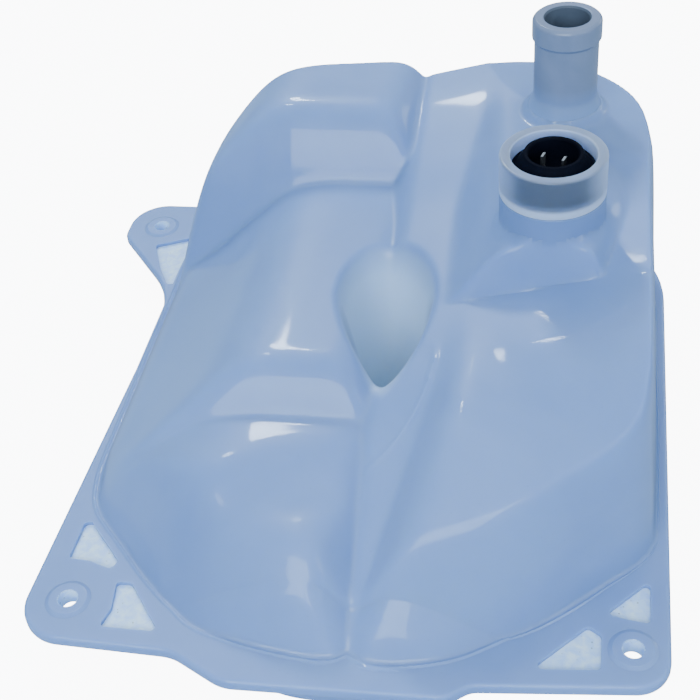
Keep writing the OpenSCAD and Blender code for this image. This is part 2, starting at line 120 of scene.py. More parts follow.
# The room is brighter overhead than round the horizon, and darker on the left
world = bpy.data.worlds.new("room")
world.use_nodes = True
room = world.node_tree
sky = room.nodes["Background"]
sky.inputs["Color"].default_value = (0.83, 0.92, 1, 1)
direction = put(room, "SeparateXYZ", {0: put(room, "TexCoord").outputs["Generated"]}).outputs
overhead = fade(room, direction["Z"], 0, 1, 0.35, 1.8)
from_left = fade(room, direction["X"], -0.9, 0.2, 0.3, 1)
room.links.new(sums(room, "MULTIPLY", overhead, from_left), sky.inputs["Strength"])
bpy.context.scene.world = world

# The table is brighter to the camera than what it throws back on the tank, as on a lit table
TABLE_Z, TABLE_REACH, TABLE_GLOW = -0.0182, 15, 9.5
table_mesh = bpy.data.meshes.new("table")
table_mesh.from_pydata(
    [(x * TABLE_REACH, y * TABLE_REACH, TABLE_Z) for x, y in ((-1, -1), (1, -1), (1, 1), (-1, 1))],
    [], [(0, 1, 2, 3)],
)
table = bpy.data.objects.new("table", table_mesh)
bpy.context.scene.collection.objects.link(table)
table_paint = bpy.data.materials.new("white_table")
table_paint.use_nodes = True
tree = table_paint.node_tree
shader = tree.nodes["Principled BSDF"]
shader.inputs["Base Color"].default_value = (0.38, 0.47, 0.58, 1)
shader.inputs["Roughness"].default_value = 0.85
shader.inputs["Emission Color"].default_value = (1, 1, 1, 1)
glow = sums(tree, "MULTIPLY", put(tree, "LightPath").outputs["Is Camera Ray"], TABLE_GLOW)
tree.links.new(glow, shader.inputs["Emission Strength"])
table_mesh.materials.append(table_paint)

# Tank body
# Blown in one piece from natural polyethylene: two halves that meet in a pinched flange,
# with three bolt ears, a pit where front and back are pinched together, and a neck.
# Sizes in mm, from the front left bolt hole and the parting plane
HOLE_SPACING, BOLT_R = 190.0, 3.5
REAR_HOLE = (-27.5, 215.5)
BACK, FRONT = 231.0, -21.0
LEFT, RIGHT = -8.0, 197.0
# Heights of the rear blocks, the hill and the front left lobe, and the depth of the flat half
BLOCK_H, HILL_H, LOBE_H, PAN = 85.0, 60.0, 43.0, 18.0
WALL, FLANGE_T, WEB_T = 2.5, 5.0, 1.6
VALLEY_X = HOLE_SPACING * 0.52
# The pit's floor is a share of its mouth
PIT = (VALLEY_X - 0.5, 104.0)
PIT_HALF, PIT_BACK, PIT_FRONT, PIT_FLOOR, PIT_DEPTH = 16.5, 27.0, 39.0, 0.3, 72.0
PIT_Z = WALL - PAN + 0.5
COLLAR = (156.4, 119.5)
STUB = (157.6, 189.5)
COLLAR_R, NECK_BORE_R, NECK_TOP = 18.3, 12.7, 95.5
PAD_R, STUB_BORE_R, SEAT_Z = 14.2, 8.3, 86.5
# Walls of the tank at a distance behind the front holes, and the valley between its ridges
left_edge = [
    (-21, 78), (-17, 60), (-10, 44), (-3, 35), (25, 10), (41, -3.5), (58, -7.4), (86, -8),
    (159, -8), (195, -7.4), (212, -3), (223, 6), (231, 23),
]
right_edge = [
    (-21, 118), (-16, 134), (-5, 149), (24, 179), (38, 193), (50, 197), (153, 197), (173, 197),
    (200, 191.5), (219, 177.5), (228, 161), (231, 143),
]
valley = [
    (-21, 4), (0, 12), (30, 29), (60, 46), (100, 55), (150, 61), (176, 68), (205, 75), (231, 78),
]


def blend(a, b, k):
    """Lower of two surfaces, with a smooth rounding that takes k / 4 off where they cross."""
    near = np.maximum(1 - np.abs(a - b) / (1.5 * k), 0)
    return np.minimum(a, b) - near**3 * k / 4


def merge(a, b, k):
    """Higher of two surfaces, with a smooth rounding that adds k / 4 where they cross."""
    return -blend(-a, -b, k)


def rise(d, angle, t):
    """Wall that climbs at an angle, d behind its foot, for a skin that lies t inside."""
    a = math.radians(angle)
    return d * math.tan(a) - t / math.cos(a)


def curve(v, points):
    """Smooth curve through points, which stays level past both ends."""
    at, value = np.array(points, float).T
    grade = np.empty(len(at))
    grade[1:-1] = (value[2:] - value[:-2]) / (at[2:] - at[:-2])
    grade[0] = (value[1] - value[0]) / (at[1] - at[0])
    grade[-1] = (value[-1] - value[-2]) / (at[-1] - at[-2])
    inside = np.clip(v, at[0], at[-1])
    i = np.clip(np.searchsorted(at, inside, side="right") - 1, 0, len(at) - 2)
    gap = at[i + 1] - at[i]
    share = (inside - at[i]) / gap
    square, cube = share * share, share**3
    return (
        (2 * cube - 3 * square + 1) * value[i] + (cube - 2 * square + share) * gap * grade[i]
        + (3 * square - 2 * cube) * value[i + 1] + (cube - square) * gap * grade[i + 1]
    )


def edges(y):
    """Left and right wall at y, and the cosine of the angle that each runs off at."""
    lean_l = curve(y + 0.5, left_edge) - curve(y - 0.5, left_edge)
    lean_r = curve(y + 0.5, right_edge) - curve(y - 0.5, right_edge)
    return (
        curve(y, left_edge), curve(y, right_edge),
        1 / np.sqrt(1 + lean_l**2), 1 / np.sqrt(1 + lean_r**2),
    )


def lobes(x, y, t):
    """Height of the stepped lobes and ridges, for a skin that lies t inside."""
    bottom = curve(y, valley) - t * 1.3
    # Rear left block: its front face, its steep left wall and the slant above that wall
    face_y = BACK - 62 + 0.15 * np.maximum(50 - x, 0)
    front_face = rise(y - face_y, 68, t) + HILL_H - 12
    left_wall = (x + 7) * 4.2 + 9 - t * 4
    left_slant = (x - 8) * 1.02 + BLOCK_H - 29 - t * 1.4
    rear = blend(blend(BLOCK_H - t, front_face, 28), blend(left_wall, left_slant, 36), 13)
    # Middle left lobe, one step down
    front_face = rise(y - 47, 60, t) + LOBE_H - 12
    left_slant = (x - 52) * 0.86 + HILL_H - t * 1.3
    middle = blend(blend(HILL_H - 1 - t, front_face, 14), left_slant, 12)
    # Front left lobe, another step down, with a terrace in front
    front_face = (y - 26 - 0.28 * (x - 65)) * 0.9 + LOBE_H - 6 - t * 1.3
    terrace = blend(LOBE_H - 10 - t, (y + 16) * 1.6 + 14 - t * 1.9, 20)
    left_slant = (x - 42) * 0.6 + LOBE_H - t * 1.2
    front = blend(merge(blend(LOBE_H - t, front_face, 10), terrace, 5), left_slant, 12)
    left = merge(merge(rear, middle, 3), front, 3)
    left = blend(left, (VALLEY_X - x) * 1.6 + bottom, 12)
    # Rise to the collar and the rear right block: its front face and its two flanks
    front_face = rise(y - (COLLAR[1] - 22.5), 82, t) + HILL_H
    left_flank = (x - VALLEY_X - 21) * 1.3 + HILL_H + 0.14 * (y - 112) - t * 1.6
    right_flank = (HOLE_SPACING - x) * 1.25 + HILL_H + 10 - t * 1.6
    shoulder = (HOLE_SPACING - 18 - x) * 3 + BLOCK_H + (y - COLLAR[1] + 17) * 0.9 - t * 3.3
    behind_collar = rise(y - COLLAR[1] - 22.5, 57, t) + HILL_H + 10
    right_side = merge(blend(right_flank, shoulder, 8), behind_collar, 3)
    turret = blend(blend(blend(BLOCK_H - t, front_face, 10), left_flank, 12), right_side, 10)
    # Front right hill, which runs out to the front and drops into the valley
    hill_front = (y + 24) * 0.95 + 12 - t * 1.4
    hill_left = (x - VALLEY_X - 17.5) * 1.9 + HILL_H - 15 + 0.1 * (y - 55) - t * 2.1
    hill = blend(blend(HILL_H + 1 - t, hill_front, 40), hill_left, 19)
    # Slant that climbs from the valley to both, with a low dome behind the hill
    dome = 2.2 * np.exp(-(((x - 166) / 30) ** 2)) * np.clip((98 - y) / 24, 0, 1)
    band = np.minimum((x - VALLEY_X) * 0.25 + bottom + 1 + dome, BLOCK_H - t)
    ridge = merge(merge(turret, hill, 5), band, 3)
    ridge = blend(ridge, (x - VALLEY_X) * 1.6 + bottom + 2, 6)
    return merge(left, ridge, 3.5)


def top_skin(x, y, t):
    """Height of the lobed half without its pit, for a skin that lies t inside."""
    left, right, left_cos, right_cos = edges(y)
    # Both side walls are steep at the rear and run out into slopes at the front
    near = np.clip((60 - y) / 60, 0, 1)
    left_climb = math.tan(math.radians(74)) * (1 - near) + math.tan(math.radians(55)) * near
    right_climb = math.tan(math.radians(86)) * (1 - near) + math.tan(math.radians(52)) * near
    left_wall = (x - left) * left_cos * left_climb - t * 4
    right_wall = (right - x) * right_cos * right_climb - t * (14 * (1 - near) + 2 * near)
    sides = blend(lobes(x, y, t), blend(left_wall, right_wall, 10), 22 + 30 * near)
    return blend(blend(sides, rise(BACK - y, 87, t), 18), rise(y - FRONT, 66, t) + 2, 32)


def pit_size(x, y):
    """Size of the pit's ring through a point: 1 at its mouth, PIT_FLOOR at its floor."""
    dy = y - PIT[1]
    dx = x - PIT[0] + 0.1 * dy
    # Round behind its middle, and drawn to a point in front of it
    power = np.where(dy > 0, 2.0, 1.5)
    reach = np.where(dy > 0, PIT_BACK, PIT_FRONT)
    return (np.abs(dx / PIT_HALF) ** power + np.abs(dy / reach) ** power) ** (1 / power)


def outer_top(x, y):
    """Height of the lobed half with its pit, as the mould leaves it."""
    z = top_skin(x, y, 0)
    pit = PIT_Z + (pit_size(x, y) - PIT_FLOOR) / (1 - PIT_FLOOR) * PIT_DEPTH
    z = merge(blend(z, pit, 13), PIT_Z + 0 * x, 6)
    # Faint welt that curves round the front right of the pit
    welt = np.hypot((x - 88) / 31.5, (y - 74) / 38) - 1
    z = z + 0.6 * np.exp(-((welt / 0.016) ** 2)) * (x > 100) * np.clip((82 - y) / 10, 0, 1)
    # Small fillets where the neck and the stub's pad rise from the roof
    for (cx, cy), r in ((COLLAR, COLLAR_R), (STUB, PAD_R)):
        d = np.hypot(x - cx, y - cy) - r
        z = z + (3 - np.clip(d, 0, 3)) ** 2 / 3 * np.clip((z - 77) / 5, 0, 1)
    return z


FILLET, BEAD = 2.2, 0.55
FLANGE_TOP = FLANGE_T / 2 - 0.04


def flared_top(x, y):
    """Outer skin with a fillet where its foot runs out into the flange."""
    z = outer_top(x, y)
    e = 0.2
    slope = np.hypot(
        outer_top(x + e, y) - outer_top(x - e, y), outer_top(x, y + e) - outer_top(x, y - e)
    ) / (2 * e)
    lean = np.arctan(np.maximum(slope, 0.3))
    out = (z - FLANGE_TOP) / np.tan(lean) + FILLET * np.tan(lean / 2)
    arc = FLANGE_TOP + FILLET - np.sqrt(FILLET**2 - np.clip(out, 0, FILLET) ** 2)
    foot = np.where(out > FILLET * np.sin(lean), z, arc)
    # Narrow bead that the mould's pinch leaves along the foot
    foot = foot + BEAD * np.exp(-(((out + 0.3) / 0.55) ** 2))
    return np.where(pit_size(x, y) > 1.4, foot, z)


def add(name, mesh):
    """Object of a mesh, in the scene."""
    obj = bpy.data.objects.new(name, mesh)
    bpy.context.scene.collection.objects.link(obj)
    return obj


def stations(a, b, n, near=0.5, crowd=0.0):
    """Places from a to b that crowd together at both ends, and round the share near of the way."""
    even = np.linspace(0, 1, 2001)
    way = 0.35 * (1 - np.cos(math.pi * even)) + 0.3 * even
    weight = np.gradient(even, way) * (1 + crowd * np.exp(-(((way - near) / 0.09) ** 2)))
    total = np.concatenate([[0], np.cumsum((weight[1:] + weight[:-1]) * np.diff(way))])
    return a + (b - a) * np.interp(np.linspace(0, 1, n + 1), total / total[-1], way)


def eased(outline, width):
    """Closed outline with its corners rounded off over a width in mm, point for point."""
    samples = 1024
    closed = np.vstack([outline, outline[:1]])
    along = np.append(0, np.cumsum(np.hypot(*np.diff(closed, axis=0).T)))
    even = np.linspace(0, along[-1], samples + 1)
    fall = np.exp(-2 * (math.pi * width * np.arange(samples // 2 + 1) / along[-1]) ** 2)
    tracks = []
    for track in closed.T:
        soft = np.fft.irfft(np.fft.rfft(np.interp(even[:-1], along, track)) * fall, samples)
        tracks.append(np.interp(along[:-1], even, np.append(soft, soft[0])))
    return np.column_stack(tracks)


def blown_shell(name, rows, columns, out, top, lower):
    """Closed solid under a skin, grown by out; each lower ring is (height, how far it draws in)."""
    ys = stations(FRONT - out, BACK + out, rows, 0.48, 0.7)
    left, right, left_cos, right_cos = edges(ys)
    a, b = left - out / left_cos, right + out / right_cos
    x = a[:, None] + (b - a)[:, None] * stations(0, 1, columns, 0.5, 1.0)[None, :]
    y = np.repeat(ys[:, None], columns + 1, 1)
    verts = np.stack([x, y, top(x, y)], -1).reshape(-1, 3)
    w = columns + 1
    j, i = np.meshgrid(np.arange(rows), np.arange(columns), indexing="ij")
    faces = [(k, k + 1, k + w + 1, k + w) for k in (j * w + i).ravel()]
    ring = list(range(w)) + [k * w + columns for k in range(1, rows + 1)]
    ring += [rows * w + k for k in range(columns - 1, -1, -1)] + [k * w for k in range(rows - 1, 0, -1)]
    n = len(ring)
    edge = eased(verts[ring, :2], 6)
    middle = np.array([(LEFT + RIGHT) / 2, (FRONT + BACK) / 2])
    half = np.array([(RIGHT - LEFT) / 2, (BACK - FRONT) / 2])
    for height, draw in lower:
        low = np.column_stack([middle + (edge - middle) * (1 - draw / half), np.full(n, height)])
        under = list(range(len(verts), len(verts) + n))
        verts = np.concatenate([verts, low])
        faces += [(ring[k], under[k], under[(k + 1) % n], ring[(k + 1) % n]) for k in range(n)]
        ring = under
    faces.append(tuple(reversed(ring)))
    mesh = bpy.data.meshes.new(name)
    mesh.from_pydata((verts / 1000).tolist(), [], faces)
    return add(name, mesh)



def join(target, other, operation):
    """Boolean of two closed pieces; the second one is used up."""
    mod = target.modifiers.new("join", "BOOLEAN")
    mod.operation = operation
    mod.solver = "MANIFOLD"
    mod.object = other
    graph = bpy.context.evaluated_depsgraph_get()
    mesh = bpy.data.meshes.new_from_object(target.evaluated_get(graph))
    target.modifiers.remove(mod)
    target.data = mesh
    bpy.data.objects.remove(other)


def turned(name, profile, centre=(0, 0), steps=96):
    """Ring turned about a vertical axis from a closed profile of (radius, height) in mm."""
    angles = 2 * np.pi * np.arange(steps) / steps
    verts, n = [], len(profile)
    for r, z in profile:
        verts += [
            ((centre[0] + r * math.cos(a)) / 1000, (centre[1] + r * math.sin(a)) / 1000, z / 1000)
            for a in angles
        ]
    faces = []
    for k in range(n):
        for i in range(steps):
            j, m = (i + 1) % steps, (k + 1) % n
            faces.append((k * steps + i, k * steps + j, m * steps + j, m * steps + i))
    mesh = bpy.data.meshes.new(name)
    mesh.from_pydata(verts, [], faces)
    bm = bmesh.new()
    bm.from_mesh(mesh)
    bmesh.ops.recalc_face_normals(bm, faces=bm.faces)
    bm.to_mesh(mesh)
    bm.free()
    return add(name, mesh)


def rod(name, radius, low, high, centre, chamfer=0.0, steps=96):
    """Round solid between two heights, with a chamfer that widens it at both ends."""
    obj = add(name, bpy.data.meshes.new(name))
    bm = bmesh.new()
    wide = radius + chamfer
    loops = []
    for r, z in ((wide, low), (radius, low + chamfer), (radius, high - chamfer), (wide, high)):
        loops.append([
            bm.verts.new((
                (centre[0] + r * math.cos(a)) / 1000, (centre[1] + r * math.sin(a)) / 1000, z / 1000
            ))
            for a in 2 * np.pi * np.arange(steps) / steps
        ])
    for low_loop, high_loop in zip(loops, loops[1:]):
        for k in range(steps):
            m = (k + 1) % steps
            bm.faces.new((low_loop[k], low_loop[m], high_loop[m], high_loop[k]))
    bm.faces.new(reversed(loops[0]))
    bm.faces.new(loops[-1])
    bmesh.ops.remove_doubles(bm, verts=bm.verts, dist=1e-7)
    bm.to_mesh(obj.data)
    bm.free()
    return obj



def prism(name, outline, low, high):
    """Straight prism of an outline in mm."""
    if sum(a[0] * b[1] - a[1] * b[0] for a, b in zip(outline, outline[1:] + outline[:1])) < 0:
        outline = outline[::-1]
    n = len(outline)
    verts = [(x / 1000, y / 1000, z / 1000) for z in (low, high) for x, y in outline]
    faces = [tuple(range(n - 1, -1, -1)), tuple(range(n, 2 * n))]
    faces += [(k, (k + 1) % n, n + (k + 1) % n, n + k) for k in range(n)]
    mesh = bpy.data.meshes.new(name)
    mesh.from_pydata(verts, [], faces)
    return add(name, mesh)


def rounded(corners, step=6):
    """Outline with an arc at each corner, which is (x, y, radius)."""
    points = []
    for i, b in enumerate(corners):
        a, c = corners[i - 1], corners[(i + 1) % len(corners)]
        p = np.array(b[:2], float)
        u = np.array(a[:2]) - p
        w = np.array(c[:2]) - p
        u, w = u / np.linalg.norm(u), w / np.linalg.norm(w)
        half = math.acos(np.clip(u @ w, -1, 1)) / 2
        mid = p + (u + w) / np.linalg.norm(u + w) * b[2] / math.sin(half)
        s0, s1 = p + u * b[2] / math.tan(half) - mid, p + w * b[2] / math.tan(half) - mid
        a0 = math.atan2(s0[1], s0[0])
        sweep = (math.atan2(s1[1], s1[0]) - a0 + math.pi) % (2 * math.pi) - math.pi
        n = max(2, math.ceil(abs(math.degrees(sweep)) / step))
        points += [
            tuple(mid + b[2] * np.array([math.cos(a0 + sweep * k / n), math.sin(a0 + sweep * k / n)]))
            for k in range(n + 1)
        ]
    return points


def soften(obj, width, segments=2, angle=30):
    """Rounds the sharp edges of a piece."""
    mod = obj.modifiers.new("soften", "BEVEL")
    mod.width = width / 1000
    mod.segments = segments
    mod.limit_method = "ANGLE"
    mod.angle_limit = math.radians(angle)
    graph = bpy.context.evaluated_depsgraph_get()
    mesh = bpy.data.meshes.new_from_object(obj.evaluated_get(graph))
    obj.modifiers.remove(mod)
    obj.data = mesh


def smooth(obj, angle=38):
    """Smooth shading between sharp edges, led by the larger faces."""
    obj.data.shade_smooth()
    obj.data.set_sharp_from_angle(angle=math.radians(angle))
    mod = obj.modifiers.new("even", "WEIGHTED_NORMAL")
    mod.keep_sharp = True
    graph = bpy.context.evaluated_depsgraph_get()
    mesh = bpy.data.meshes.new_from_object(obj.evaluated_get(graph))
    obj.modifiers.remove(mod)
    obj.data = mesh


# Lobed half on the flat half, whose lower edge is rounded; its foot ends inside the flange
FOOT, CORNER_H, CORNER_DRAW = FILLET + 0.4, 6.0, 4.2
pan_rings = [(-1, 0), (-1.1, FOOT), (-PAN + CORNER_H + 0.5, FILLET + 2.0)]
pan_rings += [
    (-PAN + CORNER_H * (1 - math.sin(a)), FOOT + CORNER_H - CORNER_DRAW * math.cos(a))
    for a in np.radians(range(0, 91, 15))
]
tank = blown_shell("tank_skin", 296, 256, FOOT, flared_top, pan_rings)
# Flange with its ears; each corner is (x, y, radius)
EAR = 16.0
flange_outline = rounded([
    (-EAR, -EAR + 0.5, EAR), (41, FRONT + 4.3, 16), (60, FRONT - 5.5, 16),
    (HOLE_SPACING - 57, FRONT - 3.5, 12), (HOLE_SPACING - 50, FRONT + 2, 8),
    (RIGHT + 5, -EAR + 3, EAR - 4), (RIGHT + 4.5, BACK + 3.5, 56),
    (REAR_HOLE[0] - EAR, BACK + 2.5, EAR), (REAR_HOLE[0] - EAR, REAR_HOLE[1] - 7, 8),
    (LEFT - 1.5, BACK - 64, 50),
])
flange = prism("flange", flange_outline, -FLANGE_T / 2, FLANGE_T / 2)
soften(flange, 1.4, 3)
# Windows in the ears, sunk from both sides down to a thin web
windows = [
    [(14.5, 9.5, 1.5), (20, 9.5, 2.5), (35, -9.5, 1.5), (14, -9.5, 1.5), (16, -2, 3)],
    [(-6, 18, 1.5), (-5.5, 35, 2), (-1, 35, 1.5), (12.5, 19.5, 1.5), (11, 14.5, 2), (2, 17.5, 3)],
    [(158, -10.5, 1.5), (175.5, 8, 1.5), (180, 5, 2), (180, -8.5, 1.5)],
    [(181, 13.5, 1.5), (195.5, 29, 1.5), (195.5, 11, 1.5), (188, 12, 4)],
    [(-26.5, 201.5, 1.5), (-6, 210.5, 2), (-6, 174.5, 2), (-13.5, 173.5, 2), (-20, 185.5, 8)],
]
CUT = 6
for window in windows:
    for low, high in ((WEB_T / 2, CUT), (-CUT, -WEB_T / 2)):
        join(flange, prism("window", rounded(window, 12), low, high), "DIFFERENCE")
soften(flange, 0.75, 2, 60)
# Raised ring round each bolt hole, with a conical edge
BOSS_TOP, BOSS_FOOT, BOSS_FLAT_R, BOSS_R = 3.3, 2.4, 6.6, 8.4
bolt_holes = [(0, 0), (HOLE_SPACING, 0), REAR_HOLE]
boss_profile = [
    (2, -BOSS_TOP, 0.3), (BOSS_FLAT_R, -BOSS_TOP, 0.8), (BOSS_R, -BOSS_FOOT, 0.8),
    (BOSS_R, BOSS_FOOT, 0.8), (BOSS_FLAT_R, BOSS_TOP, 0.8), (2, BOSS_TOP, 0.3),
]
for hole in bolt_holes:
    join(flange, turned("boss", rounded(boss_profile, 22), hole, 64), "UNION")
join(tank, flange, "UNION")
# Neck under the collar and pad under the stub
POST_FOOT = 60
for name, radius, top, edge, centre in (
    ("neck", COLLAR_R, NECK_TOP, 0.3, COLLAR), ("pad", PAD_R, SEAT_Z, 0.5, STUB),
):
    profile = [(5, POST_FOOT, 1), (radius, POST_FOOT, 1), (radius, top, edge), (5, top, 0.3)]
    join(tank, turned(name, rounded(profile, 30), centre, 128), "UNION")

# Hollow chamber, which leaves the pit's own walls standing
chamber = blown_shell(
    "chamber", 84, 70, -WALL, lambda x, y: np.maximum(top_skin(x, y, WALL), 0.0),
    [(4 - PAN + WALL, 2), (WALL - PAN, 5)],
)
CORE_SIDES = 64
around = np.linspace(0, 2 * np.pi, CORE_SIDES, endpoint=False)
core_rings = []
for z in (-40.0, 95.0):
    n = max(PIT_FLOOR + (1 - PIT_FLOOR) * (z - PIT_Z + 5 * WALL) / PIT_DEPTH, 0.1)
    s, c = np.sin(around), np.cos(around)
    power = np.where(s > 0, 1.0, 4 / 3)
    dy = np.where(s > 0, PIT_BACK, PIT_FRONT) * n * np.sign(s) * np.abs(s) ** power
    dx = PIT_HALF * n * np.sign(c) * np.abs(c) ** power
    core_rings.append(np.stack([PIT[0] + dx - 0.1 * dy, PIT[1] + dy, z + 0 * dx], -1) / 1000)
low_end = range(CORE_SIDES)
core_mesh = bpy.data.meshes.new("core")
core_mesh.from_pydata(
    np.concatenate(core_rings).tolist(), [],
    [tuple(reversed(low_end)), tuple(k + CORE_SIDES for k in low_end)]
    + [(k, (k + 1) % CORE_SIDES, CORE_SIDES + (k + 1) % CORE_SIDES, CORE_SIDES + k) for k in low_end],
)
join(chamber, add("core", core_mesh), "DIFFERENCE")
join(tank, chamber, "DIFFERENCE")
for centre, radius in ((COLLAR, NECK_BORE_R), (STUB, STUB_BORE_R)):
    join(tank, rod("bore", radius, 50, 100, centre), "DIFFERENCE")
for hole in bolt_holes:
    join(tank, rod("bore", BOLT_R, -4, 4, hole, 0.9), "DIFFERENCE")
smooth(tank)


def effect(name, inputs, outputs):
    """Empty node group with named sockets; returns its tree, its input node and its output node."""
    tree = bpy.data.node_groups.new(name, "ShaderNodeTree")
    for label, kind, value in inputs:
        tree.interface.new_socket(label, in_out="INPUT", socket_type=kind).default_value = value
    for label, kind in outputs:
        tree.interface.new_socket(label, in_out="OUTPUT", socket_type=kind)
    return tree, tree.nodes.new("NodeGroupInput"), tree.nodes.new("NodeGroupOutput")


def mixed(tree, share, a, b):
    """Colour that goes from a to b by a share from 0 to 1."""
    sockets = {"Factor": share, "A": a, "B": b}
    return put(tree, "Mix", sockets, data_type="RGBA").outputs["Result"]


# Cloudy moulded plastic with fine specks, scuffs and a slightly wavy skin
FLOAT, COLOUR = "NodeSocketFloat", "NodeSocketColor"
moulded, given, result = effect(
    "moulded_skin",
    [
        ("Pale", COLOUR, (0.5, 0.6, 0.7, 1)), ("Deep", COLOUR, (0.4, 0.5, 0.6, 1)),
        ("Cloud Scale", FLOAT, 16.0), ("Gloss", FLOAT, 0.3), ("Specks", FLOAT, 0.3), ("Scuffs", FLOAT, 0.3),
    ],
    [("Colour", COLOUR), ("Roughness", FLOAT), ("Height", FLOAT)],
)
spot = put(moulded, "TexCoord").outputs["Object"]
cloud = put(moulded, "TexNoise", {
    "Vector": spot, "Scale": given.outputs["Cloud Scale"], "Detail": 4, "Distortion": 0.5
}).outputs["Fac"]
grain = put(moulded, "TexNoise", {"Vector": spot, "Scale": 700, "Detail": 2}).outputs["Fac"]
peel = put(moulded, "TexNoise", {"Vector": spot, "Scale": 110, "Detail": 2}).outputs["Fac"]
drawn_out = put(moulded, "Mapping", {"Vector": spot, "Scale": (1, 0.35, 1), "Rotation": (0, 0, 0.5)})
scrape = put(moulded, "TexNoise", {
    "Vector": drawn_out.outputs[0], "Scale": 85, "Detail": 9, "Roughness": 0.72,
}).outputs["Fac"]
scuff = sums(moulded, "MULTIPLY", fade(moulded, scrape, 0.63, 0.72), given.outputs["Scuffs"])
dots = put(moulded, "TexVoronoi", {"Vector": spot, "Scale": 520}).outputs["Distance"]
speck = sums(moulded, "MULTIPLY", fade(moulded, dots, 0.2, 0.08), fade(moulded, grain, 0.5, 0.62))
speck = sums(moulded, "MULTIPLY", speck, given.outputs["Specks"])
clouded = mixed(moulded, fade(moulded, cloud, 0.35, 0.65), given.outputs["Deep"], given.outputs["Pale"])
scuffed = mixed(moulded, scuff, clouded, (0.75, 0.82, 0.9, 1))
specked = mixed(moulded, speck, scuffed, (0.12, 0.14, 0.15, 1))
moulded.links.new(specked, result.inputs["Colour"])
rough = sums(moulded, "ADD", given.outputs["Gloss"], fade(moulded, cloud, 0.3, 0.7, -0.04, 0.06))
rough = sums(moulded, "ADD", rough, sums(moulded, "MULTIPLY", scuff, 0.4))
moulded.links.new(rough, result.inputs["Roughness"])
height = sums(moulded, "ADD", fade(moulded, peel, 0, 1, 0, 0.7), fade(moulded, grain, 0, 1, 0, 0.3))
moulded.links.new(sums(moulded, "SUBTRACT", height, scuff), result.inputs["Height"])


def skin_material(name, group, sockets, relief, **fixed):
    """Principled material fed by a surface group; fixed gives the shader's own plain values."""
    mat = bpy.data.materials.new(name)
    mat.use_nodes = True
    tree = mat.node_tree
    shader = tree.nodes["Principled BSDF"]
    surface = put(tree, "Group", node_tree=group)
    for key, value in sockets.items():
        surface.inputs[key].default_value = value
    tree.links.new(surface.outputs["Colour"], shader.inputs["Base Color"])
    tree.links.new(surface.outputs["Roughness"], shader.inputs["Roughness"])
    bump = put(tree, "Bump", {"Height": surface.outputs["Height"], "Strength": relief, "Distance": 0.0003})
    tree.links.new(bump.outputs[0], shader.inputs["Normal"])
    for key, value in fixed.items():
        shader.inputs[key.replace("_", " ").title().replace("Ior", "IOR")].default_value = value
    return mat, tree, shader, surface


def level(tree):
    """Height of a point, in m."""
    return put(tree, "SeparateXYZ", {0: put(tree, "TexCoord").outputs["Object"]}).outputs["Z"]


def collar_gap(tree):
    """Distance of a point from the collar's axis, in m."""
    spot = put(tree, "TexCoord").outputs["Object"]
    flat_spot = put(tree, "VectorMath", {0: spot, 1: (1, 1, 0)}, operation="MULTIPLY").outputs[0]
    axis = (COLLAR[0] / 1000, COLLAR[1] / 1000, 0)
    return put(tree, "VectorMath", {0: flat_spot, 1: axis}, operation="DISTANCE").outputs["Value"]


tank_plastic, tree, shader, surface = skin_material(
    "tank_plastic", moulded,
    {
        "Pale": (0.175, 0.292, 0.565, 1), "Deep": (0.145, 0.255, 0.52, 1), "Gloss": 0.42,
        "Specks": 0.12, "Scuffs": 0.0,
    },
    0.12, subsurface_weight=0.7, subsurface_radius=(0.8, 1.0, 1.3), subsurface_scale=0.004,
    coat_weight=0.35, coat_roughness=0.07, ior=1.45, specular_ior_level=0.35,
)
# Painted light: the pit is painted paler over its lip and paler still down its walls, for light that the
# doubled wall lets through and to lift the shade inside it
pit_depth = put(tree, "Attribute", attribute_name="pit").outputs["Fac"]
pit_painted_light = mixed(tree, fade(tree, pit_depth, 0, 1), surface.outputs["Colour"], (0.38, 0.53, 0.75, 1))
pit_floor_painted_light = mixed(tree, fade(tree, pit_depth, 1, 2), pit_painted_light, (0.58, 0.73, 0.88, 1))
# Painted shade: the neck is painted darker where the black plug inside would show through its wall
neck_shade_mask = sums(
    tree, "MULTIPLY",
    fade(tree, collar_gap(tree), (COLLAR_R + 0.3) / 1000, (COLLAR_R + 1.5) / 1000, 0.55, 0),
    fade(tree, level(tree), 0.084, 0.087),
)
neck_painted_shade = mixed(tree, neck_shade_mask, pit_floor_painted_light, (0.11, 0.19, 0.4, 1))
# Painted shade: seen along the wall, where the plastic is thicker and lets less light through, its colour
# is painted darker towards the silhouettes
slant = put(tree, "LayerWeight", {"Blend": 0.3}).outputs["Facing"]
edge_painted_shade = mixed(tree, fade(tree, slant, 0.6, 1.0, 0, 0.8), neck_painted_shade, (0.04, 0.08, 0.18, 1))
tree.links.new(edge_painted_shade, shader.inputs["Base Color"])
tree.links.new(fade(tree, slant, 0.5, 1.0, 0.35, 0), shader.inputs["Coat Weight"])
web_plastic = skin_material(
    "web_plastic", moulded,
    {
        "Pale": (0.58, 0.78, 1, 1), "Deep": (0.38, 0.6, 1, 1), "Cloud Scale": 330.0, "Gloss": 0.5,
        "Specks": 0.7, "Scuffs": 0.5,
    },
    0.5, subsurface_weight=0.4, subsurface_radius=(0.8, 1.0, 1.2), subsurface_scale=0.003,
)[0]
tank.data.materials.clear()
tank.data.materials.append(tank_plastic)
tank.data.materials.append(web_plastic)

